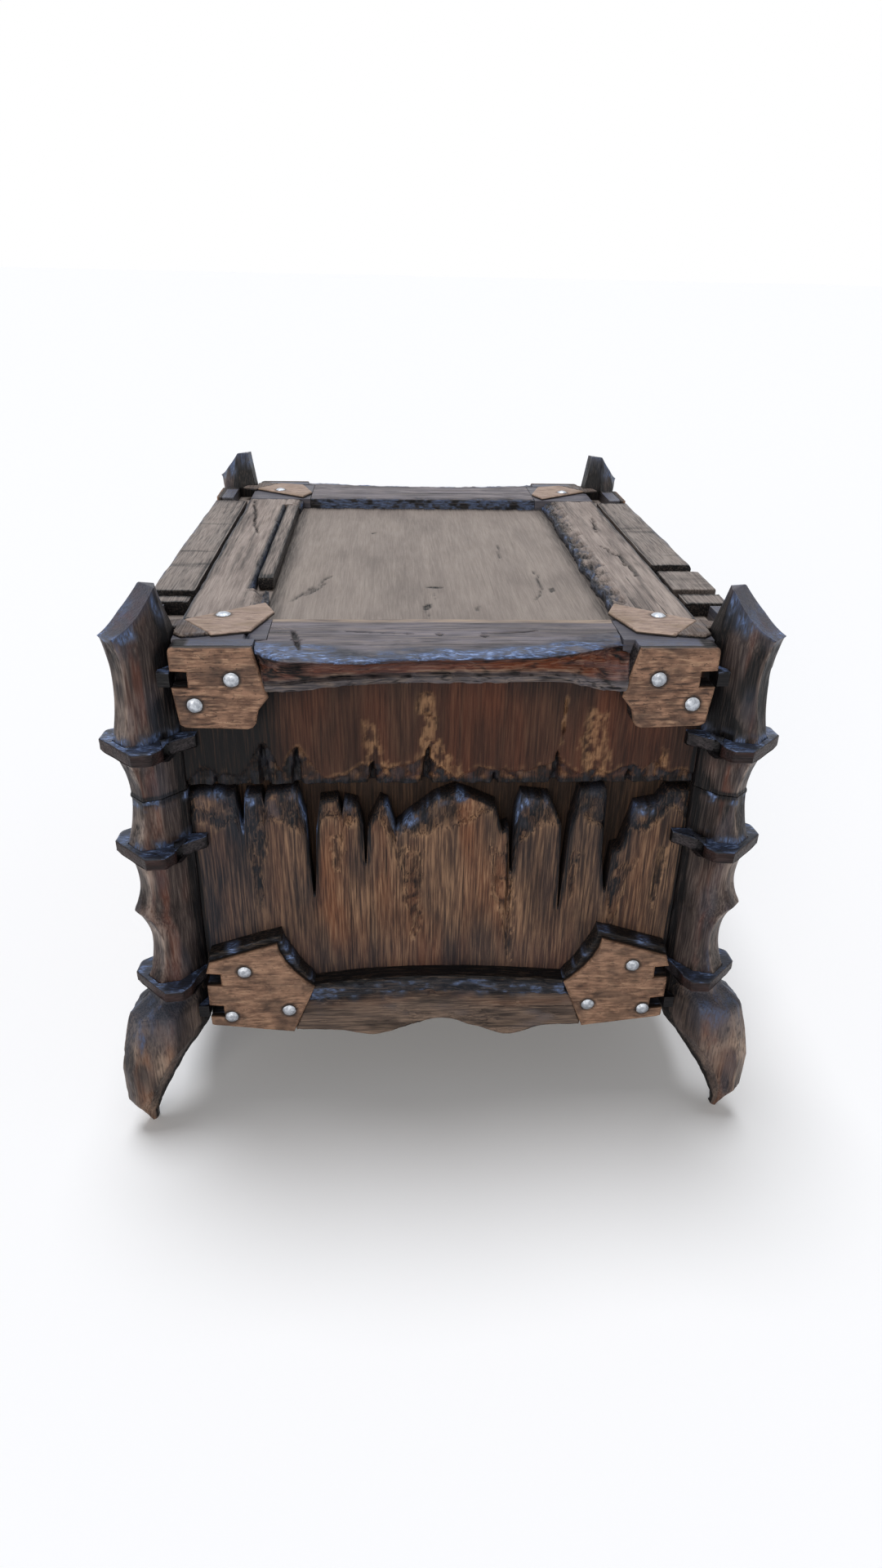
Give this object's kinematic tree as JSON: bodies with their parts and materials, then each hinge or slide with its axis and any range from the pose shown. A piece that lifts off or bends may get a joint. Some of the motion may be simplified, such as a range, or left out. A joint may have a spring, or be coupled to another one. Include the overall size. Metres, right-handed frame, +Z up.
{
  "type": "wooden puzzle box",
  "caption": "Carved dark wooden puzzle box on claw feet, with thorned posts, riveted corner brackets, a lift-off lid and sliding locks in the lid.",
  "frame": {"origin": "on the ground below the middle of the box", "axes": "+X to the right seen from the front, +Y from the front to the rear along the longer side, +Z up"},
  "size_m": [0.277, 0.337, 0.2402],
  "materials": {
    "floor_wood": "oiled plywood, satin",
    "base_panel_wood": "scorched and wire-brushed wood, satin",
    "liner_wood": "planed plywood, matte",
    "rail_wood": "carved plywood with burnt edges, satin",
    "bracket_wood": "copper-brown rubbed plywood plate, matte",
    "post_wood": "carved dark-stained plywood, satin",
    "claw_wood": "carved dark-stained plywood with rubbed flanks, satin",
    "collar_wood": "burnt plywood, satin",
    "rivet_metal": "domed aluminium rivets, dull",
    "lock_steel": "filed steel",
    "lid_top_wood": "brushed greyish taupe wood, satin",
    "lid_panel_wood": "scorched red-brown wood, satin",
    "side_rail_wood": "carved plywood edge, brushed"
  },
  "bodies": {
    "base": {"base_floor": "floor_wood", "base_panel_front": "base_panel_wood", "base_panel_rear": "base_panel_wood", "base_panel_left": "base_panel_wood", "base_panel_right": "base_panel_wood", "liner_front": "liner_wood", "liner_rear": "liner_wood", "liner_left": "liner_wood", "liner_right": "liner_wood", "bottom_rail_front": "rail_wood", "bottom_rail_rear": "rail_wood", "bottom_rail_left": "rail_wood", "bottom_rail_right": "rail_wood", "bottom_brackets_front": "bracket_wood", "bottom_brackets_rear": "bracket_wood", "bottom_brackets_left": "bracket_wood", "bottom_brackets_right": "bracket_wood", "post_front_left": "post_wood", "post_front_right": "post_wood", "post_rear_left": "post_wood", "post_rear_right": "post_wood", "foot_front_left": "claw_wood", "foot_front_right": "claw_wood", "foot_rear_left": "claw_wood", "foot_rear_right": "claw_wood", "mid_collars": "collar_wood", "low_collars": "collar_wood", "base_rivets": "rivet_metal", "base_pegs": "collar_wood", "bolt_keeper": "lock_steel", "keeper_screws": "lock_steel"},
    "lid": {"lid_board": "lid_top_wood", "lid_panel_front": "lid_panel_wood", "lid_panel_rear": "lid_panel_wood", "lid_panel_left": "lid_panel_wood", "lid_panel_right": "lid_panel_wood", "lid_frame_left": "lid_top_wood", "lid_frame_right": "lid_top_wood", "top_beam_front": "rail_wood", "top_beam_rear": "rail_wood", "top_rail_left": "side_rail_wood", "top_rail_right": "side_rail_wood", "top_brackets_front": "bracket_wood", "top_brackets_rear": "bracket_wood", "top_brackets_left": "bracket_wood", "top_brackets_right": "bracket_wood", "corner_plates": "bracket_wood", "corner_leaves": "side_rail_wood", "horn_front_left": "post_wood", "horn_front_right": "post_wood", "horn_rear_left": "post_wood", "horn_rear_right": "post_wood", "lid_collars": "collar_wood", "lid_rivets": "rivet_metal", "lid_pegs": "collar_wood"},
    "lath": {"slider_lath": "lid_top_wood", "lath_pins": "lock_steel", "lath_bolt": "lock_steel"},
    "side_slide": {"side_slider": "side_rail_wood", "side_slider_key": "lock_steel"}
  },
  "joints": [
    {"name": "lid_lift", "type": "slide", "parent": "base", "child": "lid", "axis": [0, 0, 1], "range_m": [0, 0.075]},
    {"name": "lath_slide", "type": "slide", "parent": "lid", "child": "lath", "axis": [0, -1, 0], "range_m": [0, 0.012]},
    {"name": "side_slide", "type": "slide", "parent": "lid", "child": "side_slide", "axis": [0, 1, 0], "range_m": [-0.007, 0.007]}
  ]
}
